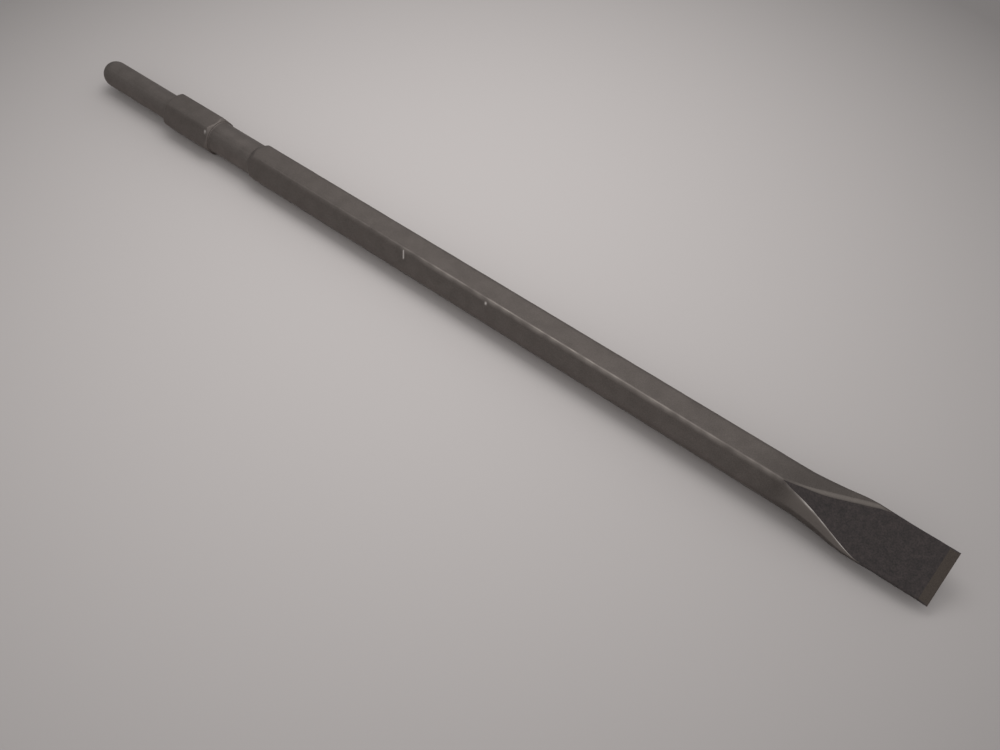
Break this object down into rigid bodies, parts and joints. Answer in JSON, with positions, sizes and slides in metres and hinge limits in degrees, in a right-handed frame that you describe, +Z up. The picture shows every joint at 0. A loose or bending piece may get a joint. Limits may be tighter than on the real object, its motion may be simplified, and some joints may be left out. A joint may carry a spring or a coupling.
{
  "type": "flat chisel for an electric breaker",
  "caption": "Forged flat chisel bit: domed round pilot, hexagon collar, round neck, long hexagon bar and a wedge blade with a ground straight edge.",
  "frame": {"origin": "on the tool's axis, at the rear face of the hexagon collar, where the round pilot ends", "axes": "+X runs along the tool towards the cutting edge, +Z is up with the tool lying on one flat of its hexagon"},
  "size_m": [0.45, 0.0224, 0.017],
  "materials": {
    "forged_steel": "dark warm-grey hardened tool steel, as forged and shot-blasted, satin, darker on the quenched blade, bare metal on the ground edge"
  },
  "bodies": {
    "root": {"flat_chisel": "forged_steel"}
  },
  "joints": []
}
